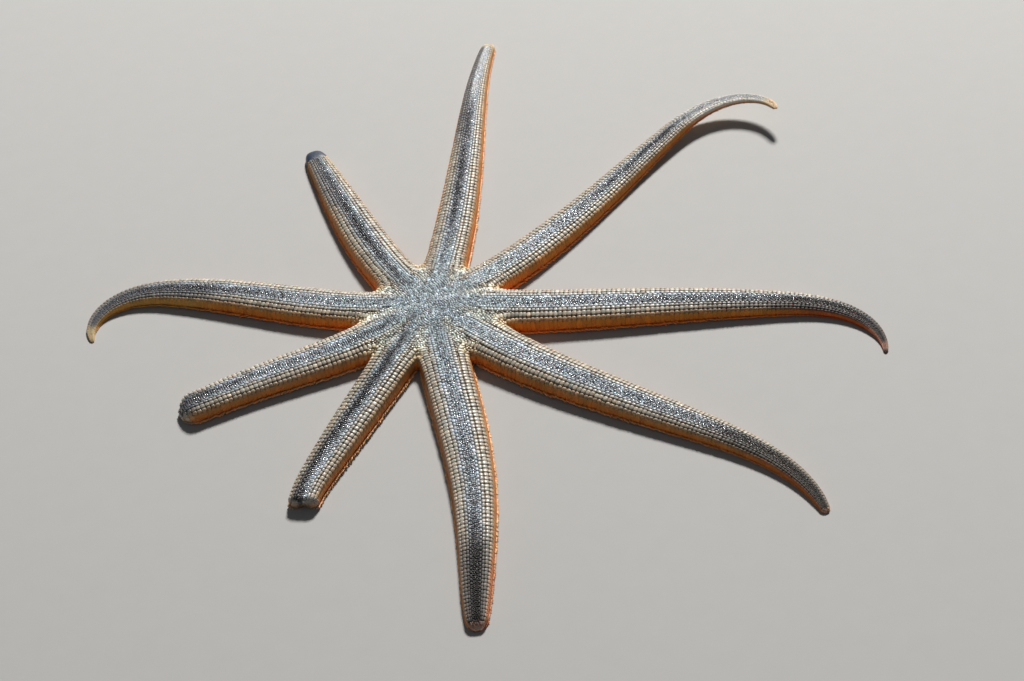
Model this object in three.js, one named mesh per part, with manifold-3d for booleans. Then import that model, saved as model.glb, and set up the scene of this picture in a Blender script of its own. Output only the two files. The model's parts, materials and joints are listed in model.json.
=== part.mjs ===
// A nine-armed sea star (Luidia senegalensis) lying flat on its underside, life size.
// Millimetres, +Z up. Arm 1 points away (+Y), the arms are numbered clockwise seen from above.
// Each arm is one long body swept along a bent line: steep sides, a low rounded back, a flat sole
// with a groove down its middle. The disc joins the nine roots under a low dome.

import * as THREE from "three";
import { mergeVertices } from "three/addons/utils/BufferGeometryUtils.js";
import Module from "manifold-3d";

const wasm = await Module();
wasm.setup();

// ---- driving sizes ----
const CUT = 0.3;            // clearance between neighbouring lengths of an arm
const ROOT = 15;            // the disc's node carries each arm out to here
const DISC_RADIUS = 12.2;   // the dome that fills the webs between the roots
const DISC_HEIGHT = 4.4;    // top of the dome
const RIM_HEIGHT = 3.5;     // height of the dome's shoulder
const FLATNESS = 0.37;      // arm height over arm width along most of the arm
const TIP_ROUNDNESS = 0.12; // the section is this much taller for its width at the very tip
const NOSE_ROUNDING = 0.9;  // how far the end is rounded off: 1 would close it to a point
const ROOT_RISE = 0.7;      // extra height where the arm runs up on the disc
const WAIST = 0.14;         // share of the width that is missing at the arm's root
const WAIST_LENGTH = 14;    // over this length
const GROOVE_HALF = 0.26;   // half width of the groove, as a share of the arm's half width
const GROOVE_DEPTH = 0.3;   // its depth as a share of the arm's height
const SOLE_HALF = 0.82;     // half width of the flat sole, as a share of the arm's half width
const FRINGE_HEIGHT = 0.1;  // the widest level, where the fringe of spines ends
const SIDE_RISE = 0.8;      // how high the side climbs before it turns over
const CROWN_REACH = 0.78;   // how far out the flat of the crown carries
const LIFT_FROM = 0.4;      // a raised tip starts to rise at this fraction of its arm
const ROOT_START = 4;       // the arm's body starts this far from the centre, inside the disc
const MOUTH_RADIUS = 3.2;
const MOUTH_DEPTH = 1.9;
const STATION = 3.4;        // spacing of the cross sections along the arm
const TIP_STATIONS = 3;     // extra cross sections on the last length of an arm
const TIP_CROWDING = 1.7;   // how strongly they draw together towards the end
const BACK_SEGMENTS = 4;    // facets on each half of the rounded back
const DOME_SEGMENTS = 36;
const MOUTH_SEGMENTS = 18;
const OVERCUT = 0.2;        // the groove's cutter reaches this far below the sole, in arm heights
const WELD = 1e-5;          // corners closer than this are one

// The dome from its foot to its top: shares of the radius, with heights as shares of the climb
// from the ground to the shoulder, and then from the shoulder to the top.
const DOME_SIDE = [[0, 0], [0.95, 0], [1, 0.14], [1, 0.68], [0.95, 1]];
const DOME_TOP = [[0.72, 0.62], [0.4, 0.92], [0, 1]];
// The mouth from below the sole up to its roof, in shares of its radius and depth.
const MOUTH_PROFILE = [[0, -0.5], [1, -0.5], [1, 0.3], [0.6, 1], [0, 1]];

// heading: direction at the root, degrees from +X, anticlockwise.
// bend: even turn over the whole arm. sway: a turn that goes out and comes back.
// curl: extra turn of the last stretch, from the fraction curlFrom on.
// reach: length from the disc's centre. width: full width. end: width left at the tip, as a share.
// nose: how long the rounded end is, in half tip widths. fullness: how late the arm narrows.
// lift: how high the tip stands off the ground. pieces: the lengths it is parted into.
const ARMS = [
  { heading: 70.5, bend: 6, sway: 3.5, curl: -9, curlFrom: 0.63, reach: 84, width: 9.2,
    end: 0.33, nose: 1.3, fullness: 1.55, lift: 0, pieces: ["base", "middle", "tip"] },
  { heading: 22.5, bend: 2.4, sway: 17.9, curl: -112.4, curlFrom: 0.7, reach: 90.3, width: 9.4,
    end: 0.15, nose: 2.5, fullness: 1.55, lift: 4.5, pieces: ["base", "middle", "tip"] },
  { heading: -17.5, bend: -9, sway: 10, curl: -81, curlFrom: 0.7, reach: 87.5, width: 10.5,
    end: 0.1, nose: 1.5, fullness: 2, lift: 0, pieces: ["base", "middle", "tip"] },
  { heading: -55.5, bend: 8, sway: 10.5, curl: -37, curlFrom: 0.65, reach: 87.5, width: 10.3,
    end: 0.19, nose: 1.3, fullness: 1.75, lift: 0, pieces: ["base", "middle", "tip"] },
  { heading: -89, bend: -25, sway: 11.5, curl: 17, curlFrom: 0.6, reach: 76, width: 10,
    end: 0.41, nose: 1.2, fullness: 2.1, lift: 0, pieces: ["base", "middle", "tip"] },
  { heading: -126.5, bend: 4.5, sway: 0, curl: 16, curlFrom: 0.8, reach: 50.5, width: 9.2,
    end: 0.6, nose: 0.4, fullness: 2.05, lift: 0, pieces: ["base", "stump"] },
  { heading: -151.5, bend: -3.5, sway: -15, curl: -11, curlFrom: 0.74, reach: 49.5, width: 10.6,
    end: 0.62, nose: 1, fullness: 1.1, lift: 0, pieces: ["base", "stump"] },
  { heading: 168, bend: 20.9, sway: -25, curl: 100.5, curlFrom: 0.672, reach: 73.2, width: 9.3,
    end: 0.1, nose: 2, fullness: 3, lift: 0, pieces: ["base", "middle", "tip"] },
  { heading: 119.5, bend: -14.3, sway: -7, curl: -2, curlFrom: 0.65, reach: 58.5, width: 9.6,
    end: 0.4, nose: 1.1, fullness: 2.3, lift: 0, pieces: ["base", "middle", "regrown_tip"] },
];

const skinMaterial = () =>
  new THREE.MeshStandardMaterial({ color: 0x8d958e, roughness: 0.4, metalness: 0 });
const tipMaterial = () =>
  new THREE.MeshStandardMaterial({ color: 0x5f6664, roughness: 0.3, metalness: 0 });

// ---- the arm's own line and measures ----
const radians = THREE.MathUtils.degToRad;

// Direction in radians at the fraction u of the arm's length.
function headingAt(arm, u) {
  const curled = Math.max(0, (u - arm.curlFrom) / (1 - arm.curlFrom));
  return radians(arm.heading + arm.bend * u + arm.sway * Math.sin(Math.PI * u) + arm.curl * curled ** 2);
}

// Point on the sole's middle at the distance s from the disc's centre, found by walking the heading.
function pointAt(arm, s) {
  const strides = 100;
  const stride = s / strides;
  const point = new THREE.Vector3();
  for (let i = 0; i < strides; i += 1) {
    const heading = headingAt(arm, ((i + 0.5) * stride) / arm.reach);
    point.x += Math.cos(heading) * stride;
    point.y += Math.sin(heading) * stride;
  }
  const raised = Math.max(0, (s / arm.reach - LIFT_FROM) / (1 - LIFT_FROM));
  point.z = arm.lift * raised ** 2;
  return point;
}

// Half width and height at the distance s: a waist at the root, a long taper and a rounded end.
function measuresAt(arm, s) {
  const u = s / arm.reach;
  const taper = 1 - (1 - arm.end) * u ** arm.fullness;
  const waist = 1 - WAIST * Math.exp(-((s / WAIST_LENGTH) ** 2));
  const nose = ((arm.width * arm.end) / 2) * arm.nose;
  const intoNose = THREE.MathUtils.clamp((s - arm.reach + nose) / nose, 0, 1);
  const rounding = Math.sqrt(1 - NOSE_ROUNDING * intoNose ** 2);
  const ratio = FLATNESS + TIP_ROUNDNESS * u ** 3;
  const rise = ROOT_RISE * Math.exp(-((s / WAIST_LENGTH) ** 2));
  return {
    half: (arm.width / 2) * taper * waist * rounding,
    height: arm.width * taper * ratio * rounding + rise,
  };
}

// ---- the cross section, for a half width of 1 and a height of 1 ----
function drawBack(shape) {
  shape.lineTo(SOLE_HALF, 0);
  shape.lineTo(1, FRINGE_HEIGHT);
  shape.bezierCurveTo(1, SIDE_RISE, CROWN_REACH, 1, 0, 1);
  shape.bezierCurveTo(-CROWN_REACH, 1, -1, SIDE_RISE, -1, FRINGE_HEIGHT);
  shape.lineTo(-SOLE_HALF, 0);
}

function groovedSection() {
  const shape = new THREE.Shape();
  shape.moveTo(GROOVE_HALF, 0);
  drawBack(shape);
  shape.lineTo(-GROOVE_HALF, 0);
  shape.lineTo(-GROOVE_HALF / 2, GROOVE_DEPTH);
  shape.lineTo(GROOVE_HALF / 2, GROOVE_DEPTH);
  shape.closePath();
  return shape;
}

function fullSection() {
  const shape = new THREE.Shape();
  shape.moveTo(0, 0);
  drawBack(shape);
  shape.closePath();
  return shape;
}

// The groove alone, reaching on down below the sole so that it cuts clean.
function grooveSection() {
  const flare = GROOVE_HALF * (1 + OVERCUT / (2 * GROOVE_DEPTH));
  const shape = new THREE.Shape();
  shape.moveTo(flare, -OVERCUT);
  shape.lineTo(GROOVE_HALF / 2, GROOVE_DEPTH);
  shape.lineTo(-GROOVE_HALF / 2, GROOVE_DEPTH);
  shape.lineTo(-flare, -OVERCUT);
  shape.closePath();
  return shape;
}

// ---- sweeping a section along an arm ----
// A straight unit extrusion is laid along the arm's line: x goes sideways, y goes up.
// An arm's last length gets extra stations, drawn together towards its end.
function sweep(arm, section, from, to, last = false) {
  const steps = Math.ceil((to - from) / STATION) + (last ? TIP_STATIONS : 0);
  const crowding = last ? TIP_CROWDING : 1;
  const geometry = new THREE.ExtrudeGeometry(section, {
    steps,
    depth: 1,
    bevelEnabled: false,
    curveSegments: BACK_SEGMENTS,
  });
  const places = geometry.attributes.position;
  const stations = new Map();
  const vertex = new THREE.Vector3();
  for (let i = 0; i < places.count; i += 1) {
    vertex.fromBufferAttribute(places, i);
    const k = Math.round(vertex.z * steps);
    if (!stations.has(k)) {
      const along = 1 - (1 - k / steps) ** crowding;
      const s = from + (to - from) * along;
      const heading = headingAt(arm, s / arm.reach);
      stations.set(k, { ...measuresAt(arm, s), at: pointAt(arm, s), heading });
    }
    const { half, height, at, heading } = stations.get(k);
    // Extruding along +Z with x to the right and y up, seen from the disc, x is the arm's right.
    const side = vertex.x * half;
    places.setXYZ(
      i,
      at.x + Math.sin(heading) * side,
      at.y - Math.cos(heading) * side,
      at.z + vertex.y * height,
    );
  }
  return turnedOut(welded(geometry));
}

// One closed body: shared vertices merged, faces of no area left out.
function welded(geometry) {
  const bare = geometry.clone();
  bare.deleteAttribute("normal");
  bare.deleteAttribute("uv");
  const merged = mergeVertices(bare, WELD);
  const corners = merged.index.array;
  const kept = [];
  for (let i = 0; i < corners.length; i += 3) {
    const [a, b, c] = [corners[i], corners[i + 1], corners[i + 2]];
    if (a !== b && b !== c && c !== a) {
      kept.push(a, b, c);
    }
  }
  merged.setIndex(kept);
  return merged;
}

function volumeOf(geometry) {
  const places = geometry.attributes.position;
  const corners = geometry.index.array;
  const [a, b, c] = [new THREE.Vector3(), new THREE.Vector3(), new THREE.Vector3()];
  let volume = 0;
  for (let i = 0; i < corners.length; i += 3) {
    a.fromBufferAttribute(places, corners[i]);
    b.fromBufferAttribute(places, corners[i + 1]);
    c.fromBufferAttribute(places, corners[i + 2]);
    volume += a.dot(b.cross(c)) / 6;
  }
  return volume;
}

// Faces out: a body whose volume counts negative has its triangles turned round.
function turnedOut(geometry) {
  if (volumeOf(geometry) < 0) {
    const corners = Array.from(geometry.index.array);
    for (let i = 0; i < corners.length; i += 3) {
      [corners[i + 1], corners[i + 2]] = [corners[i + 2], corners[i + 1]];
    }
    geometry.setIndex(corners);
  }
  return geometry;
}

// ---- between three.js and manifold ----
function solidOf(geometry) {
  return new wasm.Manifold(
    new wasm.Mesh({
      numProp: 3,
      vertProperties: new Float32Array(geometry.attributes.position.array),
      triVerts: new Uint32Array(geometry.index.array),
    }),
  );
}

function geometryOf(solid) {
  const mesh = solid.getMesh();
  const geometry = new THREE.BufferGeometry();
  geometry.setAttribute("position", new THREE.BufferAttribute(Float32Array.from(mesh.vertProperties), 3));
  geometry.setIndex(Array.from(mesh.triVerts));
  return geometry;
}

// A body of revolution about +Z from a profile of [radius, height] pairs.
function turned(profile, segments) {
  const points = profile.map(([radius, height]) => new THREE.Vector2(radius, height));
  const geometry = new THREE.LatheGeometry(points, segments);
  geometry.rotateX(Math.PI / 2);
  return turnedOut(welded(geometry));
}

// ---- the disc with the nine roots, the grooves and the mouth ----
function makeDisc() {
  const dome = turned(
    [
      ...DOME_SIDE.map(([radius, height]) => [radius * DISC_RADIUS, height * RIM_HEIGHT]),
      ...DOME_TOP.map(([radius, height]) => [
        radius * DISC_RADIUS,
        RIM_HEIGHT + height * (DISC_HEIGHT - RIM_HEIGHT),
      ]),
    ],
    DOME_SEGMENTS,
  );
  const mouth = turned(
    MOUTH_PROFILE.map(([radius, height]) => [radius * MOUTH_RADIUS, height * MOUTH_DEPTH]),
    MOUTH_SEGMENTS,
  );
  let disc = solidOf(dome);
  for (const arm of ARMS) {
    disc = disc.add(solidOf(sweep(arm, fullSection(), ROOT_START, ROOT)));
  }
  for (const arm of ARMS) {
    disc = disc.subtract(solidOf(sweep(arm, grooveSection(), ROOT_START / 2, ROOT + 1)));
  }
  disc = disc.subtract(solidOf(mouth));
  return geometryOf(disc);
}

// ---- the animal ----
const star = new THREE.Group();

const disc = new THREE.Mesh(makeDisc(), skinMaterial());
disc.name = "disc";
star.add(disc);

ARMS.forEach((arm, index) => {
  const length = (arm.reach - ROOT) / arm.pieces.length;
  arm.pieces.forEach((piece, k) => {
    const last = k === arm.pieces.length - 1;
    const from = ROOT + k * length + CUT;
    const to = ROOT + (k + 1) * length;
    const geometry = sweep(arm, groovedSection(), from, to, last);
    const mesh = new THREE.Mesh(geometry, last ? tipMaterial() : skinMaterial());
    mesh.name = `arm_${index + 1}_${piece}`;
    star.add(mesh);
  });
});

// The origin lies on the ground under the middle of the whole star.
const bounds = new THREE.Box3().setFromObject(star);
const middle = bounds.getCenter(new THREE.Vector3());
star.position.set(-middle.x, -middle.y, -bounds.min.z);

export default star;
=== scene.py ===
import json
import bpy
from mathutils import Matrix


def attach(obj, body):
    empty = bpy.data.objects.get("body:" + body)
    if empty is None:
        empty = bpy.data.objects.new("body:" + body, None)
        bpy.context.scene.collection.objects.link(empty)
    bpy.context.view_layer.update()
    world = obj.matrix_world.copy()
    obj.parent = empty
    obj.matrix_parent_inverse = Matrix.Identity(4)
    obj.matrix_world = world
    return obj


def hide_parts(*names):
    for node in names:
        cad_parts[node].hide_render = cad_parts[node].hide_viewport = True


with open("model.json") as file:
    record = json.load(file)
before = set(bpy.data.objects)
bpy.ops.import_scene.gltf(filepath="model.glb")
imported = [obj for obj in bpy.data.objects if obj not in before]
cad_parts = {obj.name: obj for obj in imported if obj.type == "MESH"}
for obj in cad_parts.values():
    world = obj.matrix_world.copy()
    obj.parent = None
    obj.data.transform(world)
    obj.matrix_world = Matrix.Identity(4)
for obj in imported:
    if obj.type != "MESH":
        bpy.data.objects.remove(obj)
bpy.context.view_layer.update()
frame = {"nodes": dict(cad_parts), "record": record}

from types import SimpleNamespace

import bpy
import numpy as np
from mathutils import Matrix

# ---- Place of the star ----
# The sea star lies on the ground. Its disc's centre is worked out from the record's one mount,
# a flat on the sole between the grooves of two arms, 9 mm from the centre.
MM = 0.001
sole_flat = np.array(frame["record"]["mounts"][0]["pos_m"][:2])
sole_flat_bearing = np.radians(-72)
sole_flat_distance = 9 * MM
centre = sole_flat - sole_flat_distance * np.array([np.cos(sole_flat_bearing), np.sin(sole_flat_bearing)])


# ---- Camera ----
# A long lens about 0.4 m away, looking down at 42 degrees, a little turned about its own axis
# because the star is seen as it was held.
def direction(bearing, height):
    """The unit vector at a bearing and a height above level, both in degrees."""
    bearing, height = np.radians((bearing, height))
    return np.array([np.cos(bearing) * np.cos(height), np.sin(bearing) * np.cos(height), np.sin(height)])


def stood_up(name, data, axes, place):
    """A camera or lamp at a place, with its axes to its right, upwards and backwards."""
    piece = bpy.data.objects.new(name, data)
    matrix = np.eye(4)
    matrix[:3, :4] = np.stack([*axes, place], 1)
    piece.matrix_world = Matrix(matrix.tolist())
    bpy.context.collection.objects.link(piece)
    return piece


aim = np.array([centre[0] + 13 * MM, centre[1] - 9.9 * MM, 0])
aim_distance = 412.7 * MM
camera_bearing = 87.56
camera_fall = 42.18
camera_roll = np.radians(-9.17)
forward = direction(camera_bearing, -camera_fall)
level = np.cross(forward, [0, 0, 1])
level /= np.linalg.norm(level)
upright = np.cross(level, forward)
camera_right = np.cos(camera_roll) * level + np.sin(camera_roll) * upright
camera_axes = (camera_right, np.cross(camera_right, forward), -forward)
camera_data = bpy.data.cameras.new("camera")
camera_data.angle = np.radians(25)
camera_data.clip_start = 0.01
bpy.context.scene.camera = stood_up("camera", camera_data, camera_axes, aim - aim_distance * forward)


# ---- Ground and light ----
# A pale matt studio floor, one lamp behind and to the right as the main light, and a broad soft
# lamp in front that opens the shadows.
def lamp(name, bearing, height, distance, size, power, colour):
    """An area lamp at a bearing and height in degrees, a distance in metres, facing the star."""
    data = bpy.data.lights.new(name, "AREA")
    data.shape = "DISK"
    data.size = size
    data.energy = power
    data.color = colour
    towards = direction(bearing, height)
    side = np.cross([0, 0, 1], towards)
    side /= np.linalg.norm(side)
    stood_up(name, data, (side, np.cross(towards, side), towards), towards * distance)


lamp("main_lamp", bearing=68, height=42, distance=1.2, size=0.2, power=26, colour=(1.0, 0.97, 0.92))
lamp("soft_lamp", bearing=-90, height=40, distance=1.4, size=1.0, power=0.6, colour=(1.0, 0.92, 0.84))

world = bpy.data.worlds.new("studio")
world.use_nodes = True
world.node_tree.nodes["Background"].inputs["Color"].default_value = (0.84, 0.89, 0.95, 1)
world.node_tree.nodes["Background"].inputs["Strength"].default_value = 0.09
bpy.context.scene.world = world
bpy.context.scene.view_settings.view_transform = "Standard"


class Value:
    """One output of a shader node. Arithmetic on it adds Math nodes."""

    def __init__(self, finish, socket):
        self.finish = finish
        self.socket = socket

    def maths(self, operation, *values):
        made = self.finish.node("ShaderNodeMath", {"operation": operation}, *values)
        return Value(self.finish, made.outputs[0])

    def __add__(self, other):
        return self.maths("ADD", self, other)

    def __sub__(self, other):
        return self.maths("SUBTRACT", self, other)

    def __rsub__(self, other):
        return self.maths("SUBTRACT", other, self)

    def __mul__(self, other):
        return self.maths("MULTIPLY", self, other)

    __radd__ = __add__
    __rmul__ = __mul__


class Finish:
    """One material and its Principled shader."""

    def __init__(self, name):
        self.material = bpy.data.materials.new(name)
        self.material.use_nodes = True
        self.tree = self.material.node_tree
        self.shader = self.tree.nodes["Principled BSDF"]

    def node(self, kind, settings=None, *values, **sockets):
        """Adds a node: first its settings, then the values or links of its sockets."""
        made = self.tree.nodes.new(kind)
        for key, setting in (settings or {}).items():
            setattr(made, key, setting)
        for place, value in [*enumerate(values), *sockets.items()]:
            self.give(made.inputs[place], value)
        return made

    def give(self, socket, value):
        if isinstance(value, Value):
            self.tree.links.new(value.socket, socket)
        else:
            socket.default_value = value

    def set(self, **sockets):
        """Sets the shader's sockets, named with _ for a space."""
        for name, value in sockets.items():
            self.give(self.shader.inputs[name.replace("_", " ")], value)

    def value(self, node, output=0):
        return Value(self, node.outputs[output])

    def place(self):
        return self.value(self.node("ShaderNodeTexCoord"), "Object")

    def noise(self, size):
        """Smooth noise about 0.5 whose lumps are size metres across."""
        made = self.node("ShaderNodeTexNoise", {"noise_dimensions": "3D"}, Vector=self.place(),
                         Scale=1 / size, Detail=3.0, Roughness=0.55)
        return self.value(made)

    def grains(self, size):
        """Rounded grains size metres apart, 0 at a grain's middle and up to 1 at its rim."""
        made = self.node("ShaderNodeTexVoronoi", {"feature": "F1"}, Vector=self.place(), Scale=1 / size)
        return self.value(made, "Distance")

    def attribute(self, name, output="Color"):
        made = self.node("ShaderNodeAttribute", {"attribute_name": name})
        return self.value(made, output)

    def times(self, first, second):
        """Two colours multiplied."""
        made = self.node("ShaderNodeMix", {"data_type": "RGBA", "blend_type": "MULTIPLY"}, 1.0)
        self.give(made.inputs[6], first)
        self.give(made.inputs[7], second)
        return self.value(made, 2)

    def grey(self, value):
        """A number as a grey colour."""
        made = self.node("ShaderNodeCombineColor", None, value, value, value)
        return self.value(made)

    def bump(self, height, distance):
        """Bends the light as if the surface stood up by distance metres where the height is 1."""
        made = self.node("ShaderNodeBump", None, Height=height, Distance=distance, Strength=1.0)
        self.set(Normal=self.value(made, "Normal"))


def mesh_piece(name, verts, loops, sizes, smooth=True):
    """A mesh object from arrays: points, the corners of all faces in a row, and each face's count."""
    mesh = bpy.data.meshes.new(name)
    mesh.vertices.add(len(verts))
    mesh.vertices.foreach_set("co", np.asarray(verts, np.float32).ravel())
    mesh.loops.add(len(loops))
    mesh.loops.foreach_set("vertex_index", np.asarray(loops, np.int32))
    mesh.polygons.add(len(sizes))
    starts = np.concatenate([[0], np.cumsum(sizes)[:-1]])
    mesh.polygons.foreach_set("loop_start", starts.astype(np.int32))
    mesh.polygons.foreach_set("use_smooth", np.full(len(sizes), smooth))
    mesh.update(calc_edges=True)
    piece = bpy.data.objects.new(name, mesh)
    bpy.context.collection.objects.link(piece)
    return piece


floor_half = 3.0
floor = mesh_piece(
    "floor",
    floor_half * np.array([[-1, -1, 0], [1, -1, 0], [1, 1, 0], [-1, 1, 0]]),
    [0, 1, 2, 3],
    [4],
)
floor_finish = Finish("studio_floor")
floor_grey = floor_finish.grey(0.38 + 0.02 * floor_finish.noise(0.004))
floor_finish.set(Base_Color=floor_grey, Roughness=0.85)
floor.data.materials.append(floor_finish.material)


# ---- Arms: their lines and measures ----
# Nine arms, numbered clockwise from the one that points away. Each turns evenly by bend, sways
# out and back by sway, and curls over its last stretch. Lengths in mm, angles in degrees.
ARMS = [
    dict(heading=70.5, bend=6, sway=3.5, curl=-9, curl_from=0.63,
         reach=84, width=9.2, end=0.33, nose=1.3, fullness=1.55, lift=0),
    dict(heading=22.5, bend=2.4, sway=17.9, curl=-112.4, curl_from=0.7,
         reach=90.3, width=9.4, end=0.15, nose=2.5, fullness=1.55, lift=4.5),
    dict(heading=-17.5, bend=-9, sway=10, curl=-81, curl_from=0.7,
         reach=87.5, width=10.5, end=0.1, nose=1.5, fullness=2, lift=0),
    dict(heading=-55.5, bend=8, sway=10.5, curl=-37, curl_from=0.65,
         reach=87.5, width=10.3, end=0.19, nose=1.3, fullness=1.75, lift=0),
    dict(heading=-89, bend=-25, sway=11.5, curl=17, curl_from=0.6,
         reach=76, width=10, end=0.41, nose=1.2, fullness=2.1, lift=0),
    dict(heading=-126.5, bend=4.5, sway=0, curl=16, curl_from=0.8,
         reach=50.5, width=9.2, end=0.6, nose=0.4, fullness=2.05, lift=0),
    dict(heading=-151.5, bend=-3.5, sway=-15, curl=-11, curl_from=0.74,
         reach=49.5, width=10.6, end=0.62, nose=1.0, fullness=1.1, lift=0),
    dict(heading=168, bend=20.9, sway=-25, curl=100.5, curl_from=0.672,
         reach=73.2, width=9.3, end=0.1, nose=2, fullness=3, lift=0),
    dict(heading=119.5, bend=-14.3, sway=-7, curl=-2, curl_from=0.65,
         reach=58.5, width=9.6, end=0.4, nose=1.1, fullness=2.3, lift=0),
]


STATIONS = 600               # places on each arm's line
NEAR_ROOT = STATIONS // 10   # the one that gives the arm's direction at the disc
WAIST = 0.14                 # share of the width that is missing at the root
WAIST_LENGTH = 14 * MM
ROOT_RISE = 0.7 * MM         # extra height where an arm runs up on the disc
HEIGHT_SHARE = 0.37          # height over width along most of an arm
TIP_HEIGHT_SHARE = 0.12      # and what is added to that at its tip
NOSE_ROUNDING = 0.985
LIFT_FROM = 0.4              # a raised tip starts to rise at this share of its arm


def walk(arm):
    """An arm's line from the disc's centre: the heading at each fraction of the length is the root
    heading, plus the even bend, plus the sway as half a sine, plus the curl as a square from its
    start on; the place is the running sum of its directions. With it the half width and height:
    a waist at the root, a power taper and a rounded nose."""
    u = np.linspace(0, 1, STATIONS)
    curled = np.clip((u - arm["curl_from"]) / (1 - arm["curl_from"]), 0, 1)
    turn = arm["heading"] + arm["bend"] * u + arm["sway"] * np.sin(np.pi * u) + arm["curl"] * curled ** 2
    heading = np.radians(turn)
    reach = arm["reach"] * MM
    width = arm["width"] * MM
    middle = (heading[1:] + heading[:-1]) / 2
    pace = reach / (STATIONS - 1)
    s = u * reach
    taper = 1 - (1 - arm["end"]) * u ** arm["fullness"]
    near = np.exp(-((s / WAIST_LENGTH) ** 2))
    nose = width * arm["end"] / 2 * arm["nose"]
    into_nose = np.clip((s - reach + nose) / nose, 0, 1)
    rounding = np.sqrt(1 - NOSE_ROUNDING * into_nose ** 2)
    ratio = HEIGHT_SHARE + TIP_HEIGHT_SHARE * u ** 3
    return SimpleNamespace(
        s=s,
        reach=reach,
        x=centre[0] + np.concatenate([[0], np.cumsum(np.cos(middle) * pace)]),
        y=centre[1] + np.concatenate([[0], np.cumsum(np.sin(middle) * pace)]),
        z=arm["lift"] * MM * np.clip((u - LIFT_FROM) / (1 - LIFT_FROM), 0, 1) ** 2,
        heading=heading,
        half=width / 2 * taper * (1 - WAIST * near) * rounding,
        height=width * taper * ratio * rounding + ROOT_RISE * near,
    )


LINES = [walk(arm) for arm in ARMS]
REACHES = np.array([line.reach for line in LINES])
COUNT = len(LINES)

# The flesh thins a little more than the coat's outline over the last stretch of an arm: by this
# share at the very end, as a square over these many mm.
END_THINNING = [0.2, 0.1, 0.32, 0.2, 0.18, 0.0, 0.15, 0.25, 0.35]
END_STRETCH = [4, 4, 8, 5, 9, 1, 3, 6, 4.4]
for line, thinning, stretch in zip(LINES, END_THINNING, END_STRETCH):
    thin = 1 - thinning * np.clip((line.s - line.reach) / (stretch * MM) + 1, 0, 1) ** 2
    line.half = line.half * thin
    line.height = line.height * thin

# The back in cross section, for a half width and height of 1: a curve from the fringe at the
# bottom edge over the steep side to the crown. q is the share of its length, 0 on the crown.
t = np.linspace(1, 0, 401)
FRINGE_HEIGHT = 0.1
SIDE_RISE = 0.8
CROWN_REACH = 0.78
FLATNESS = 0.76   # height over half width, where the section's length is measured
section_side = (1 - t) ** 3 + 3 * (1 - t) ** 2 * t + 3 * CROWN_REACH * (1 - t) * t ** 2
section_up = FRINGE_HEIGHT * (1 - t) ** 3 + 3 * SIDE_RISE * (1 - t) ** 2 * t + 3 * (1 - t) * t ** 2 + t ** 3
section_steps = np.hypot(np.diff(section_side), FLATNESS * np.diff(section_up))
section_run = np.concatenate([[0], np.cumsum(section_steps)])
arc = section_run[-1]
section_q = section_run / arc
section_angle = np.arctan2(section_side, FLATNESS * section_up)


def section_at(q):
    """The section's half width and height at the share q of its length, for an arm of 1."""
    return np.interp(np.abs(q), section_q, section_side), np.interp(np.abs(q), section_q, section_up)


def section_share(side, up):
    """The share of the section that lies towards a point beside and above its middle."""
    return np.interp(np.arctan2(side, FLATNESS * np.maximum(up, 0)), section_angle, section_q)


def from_centre(points):
    """How far points lie from the disc's centre, seen from above."""
    return np.hypot(*(points[:, :2] - centre).T)


def beside(x, y, heading, side):
    """Where places lie that are this far to the left of a line's points."""
    return x - np.sin(heading) * side, y + np.cos(heading) * side


def along_line(line, s, *names):
    """An arm's measures at given distances."""
    return [np.interp(s, line.s, getattr(line, name)) for name in names]


def back_point(line, s, q):
    """A point on an arm's back at the distance s and the share q of the section, left positive."""
    x, y, z, heading, half, height = along_line(line, s, "x", "y", "z", "heading", "half", "height")
    side, up = section_at(q)
    return np.stack([*beside(x, y, heading, np.sign(q) * side * half), z + up * height], -1)


def unit(v):
    return v / np.maximum(np.linalg.norm(v, axis=-1, keepdims=True), 1e-12)


def frame_at(line, s, q):
    """The point with its directions along the arm, across the section and out of the surface,
    from small steps each way."""
    ds = 0.1 * MM
    dq = 0.01
    along = unit(back_point(line, np.minimum(s + ds, line.reach), q) - back_point(line, s - ds, q))
    across = unit(back_point(line, s, np.minimum(q + dq, 1)) - back_point(line, s, np.maximum(q - dq, -1)))
    out = unit(np.cross(along, across))
    return SimpleNamespace(point=back_point(line, s, q), along=along, across=np.cross(out, along), out=out)


def nearest(line, xy, upto=1.0):
    """For each place: the distance s of the closest point on an arm's line, how far the place lies
    to the left of it, and the gap between the two."""
    keep = slice(0, np.searchsorted(line.s, upto) + 1, 3)
    x, y, s, heading = line.x[keep], line.y[keep], line.s[keep], line.heading[keep]
    k = ((xy[:, None, 0] - x) ** 2 + (xy[:, None, 1] - y) ** 2).argmin(1)
    dx = xy[:, 0] - x[k]
    dy = xy[:, 1] - y[k]
    ahead = dx * np.cos(heading[k]) + dy * np.sin(heading[k])
    left = -dx * np.sin(heading[k]) + dy * np.cos(heading[k])
    beyond = np.where(s[k] + ahead < 0, -s[k] - ahead, np.maximum(s[k] + ahead - line.reach, 0))
    return np.clip(s[k] + ahead, 0, line.reach), left, np.hypot(left, beyond)


NEAR = 23 * MM          # the disc's reach: within it, backs and webs are one field
FIELD_REACH = 34 * MM   # how far along the arms the field looks for the nearest place
FORK_SOFTNESS = 0.09
FORK_WIDTH = 0.35       # how unlike the two nearest shares may be for a place to be in a fork
WEB = 12.7 * MM
WEB_FALL = 0.8
WEB_FLATNESS = 1.3


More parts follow.
